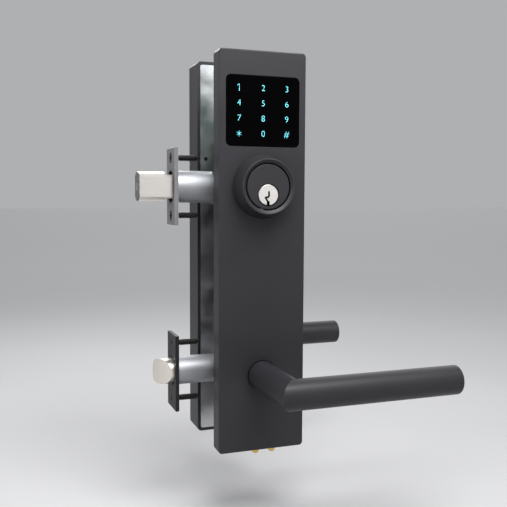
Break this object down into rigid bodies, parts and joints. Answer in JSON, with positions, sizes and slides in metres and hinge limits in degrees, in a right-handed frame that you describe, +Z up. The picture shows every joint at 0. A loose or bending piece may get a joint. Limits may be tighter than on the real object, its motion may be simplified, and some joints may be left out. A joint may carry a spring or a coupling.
{
  "type": "keypad smart lock",
  "caption": "Full-height door lock with a touch keypad, key cylinder, mitred lever, motorised deadbolt, spring latch and inside unit.",
  "frame": {"origin": "on the door's outside face, where the plate rests, on the lever spindle's axis", "axes": "+X from the door edge towards the hinges, +Y into the door from outside, +Z up"},
  "size_m": [0.2157, 0.2214, 0.2979],
  "materials": {
    "black_coating": "matte powder coat",
    "black_faceplate": "matte",
    "grey_faceplate": "worn matte",
    "satin_nickel": "satin",
    "zinc_steel": "zinc plated",
    "hardened_steel": "ground",
    "brass": "machined",
    "gold_contact": "polished",
    "black_plastic": "moulded",
    "white_plastic": "translucent moulding",
    "gear_plastic": "moulded acetal",
    "glass": "glossy touch surface",
    "board": "solder mask",
    "led": "clear lens",
    "foam": "closed-cell foam",
    "cell": "sleeved cell",
    "lead": "sheathed lead"
  },
  "bodies": {
    "lock_body": {"exterior_escutcheon": "black_coating", "exterior_gasket": "foam", "keypad_glass": "glass", "keypad_seal": "foam", "light_guide": "white_plastic", "keypad_pcb": "board", "backlight_leds": "led", "keypad_screws": "zinc_steel", "cylinder_collar": "black_coating", "cylinder_housing": "black_coating", "driver_pins": "brass", "pin_springs": "zinc_steel", "cylinder_screws": "zinc_steel", "jump_contacts": "gold_contact", "contact_insulators": "black_plastic", "lever_bushes": "black_plastic", "lever_spring_cups": "zinc_steel", "lever_return_springs": "hardened_steel", "deadbolt_case": "zinc_steel", "latch_case": "zinc_steel", "latch_cage": "zinc_steel", "latch_spring": "hardened_steel", "interior_mounting_plate": "zinc_steel", "interior_housing": "black_coating", "housing_screws": "black_faceplate", "battery_tray": "black_plastic", "batteries": "cell", "battery_contacts": "zinc_steel", "main_pcb": "board", "motor": "zinc_steel", "gear_bracket": "zinc_steel", "thumbturn_bush": "black_plastic", "through_bolts": "zinc_steel", "wire_harness": "lead", "deadbolt_faceplate": "grey_faceplate", "latch_faceplate": "black_faceplate", "deadbolt_faceplate_screws": "black_faceplate", "latch_faceplate_screws": "black_faceplate"},
    "levers": {"exterior_lever": "black_coating", "interior_lever": "black_coating", "lever_set_screw": "zinc_steel", "spindle": "zinc_steel", "lever_retaining_rings": "zinc_steel", "latch_hub": "zinc_steel"},
    "latch": {"latch_bolt": "satin_nickel", "latch_retractor": "zinc_steel"},
    "deadbolt_drive": {"thumbturn": "black_coating", "tailpiece": "zinc_steel", "deadbolt_cam": "zinc_steel", "drive_gear": "gear_plastic"},
    "deadbolt": {"deadbolt_bolt": "satin_nickel", "anti_saw_pin": "hardened_steel"},
    "key_plug": {"cylinder_plug": "satin_nickel", "key_pins": "brass", "plug_cap": "brass"},
    "idler": {"idler_gear": "gear_plastic"},
    "motor_shaft": {"motor_pinion": "brass"},
    "cover": {"battery_cover": "black_coating"},
    "button": {"program_button": "black_plastic"}
  },
  "joints": [
    {"name": "lever_turn", "type": "hinge", "parent": "lock_body", "child": "levers", "pos_m": [0, 0, 0], "axis": [0, 1, 0], "range_deg": [0, 45], "stiffness_Nm_per_rad": 1.2, "springref_deg": -28.65, "deforming": ["lever_return_springs"]},
    {"name": "latch_slide", "type": "slide", "parent": "lock_body", "child": "latch", "axis": [1, 0, 0], "range_m": [0, 0.0127], "deforming": ["latch_spring"]},
    {"name": "thumbturn_turn", "type": "hinge", "parent": "lock_body", "child": "deadbolt_drive", "pos_m": [0, 0, 0.1338], "axis": [0, 1, 0], "range_deg": [0, 90]},
    {"name": "deadbolt_slide", "type": "slide", "parent": "lock_body", "child": "deadbolt", "axis": [1, 0, 0], "range_m": [0, 0.0254]},
    {"name": "key_turn", "type": "hinge", "parent": "lock_body", "child": "key_plug", "pos_m": [0, 0, 0.1338], "axis": [0, 1, 0], "range_deg": [-90, 90]},
    {"name": "idler_spin", "type": "hinge", "parent": "lock_body", "child": "idler", "pos_m": [0.014, 0, 0.10955], "axis": [0, 1, 0], "range_deg": [-121, 1]},
    {"name": "pinion_spin", "type": "hinge", "parent": "lock_body", "child": "motor_shaft", "pos_m": [-0.00179, 0, 0.10381], "axis": [0, 1, 0], "range_deg": [-1, 301]},
    {"name": "cover_slide", "type": "slide", "parent": "lock_body", "child": "cover", "axis": [0, 0, 1], "range_m": [0, 0.08]},
    {"name": "button_press", "type": "slide", "parent": "lock_body", "child": "button", "axis": [0, -1, 0], "range_m": [0, 0.0008], "stiffness_N_per_m": 300}
  ],
  "couplings": [
    {"joint": "latch_slide", "follows": "lever_turn", "m_per_rad": 0.01617},
    {"joint": "deadbolt_slide", "follows": "thumbturn_turn", "m_per_rad": 0.01617},
    {"joint": "idler_spin", "follows": "thumbturn_turn", "ratio": -1.3333},
    {"joint": "pinion_spin", "follows": "thumbturn_turn", "ratio": 3.3333}
  ]
}
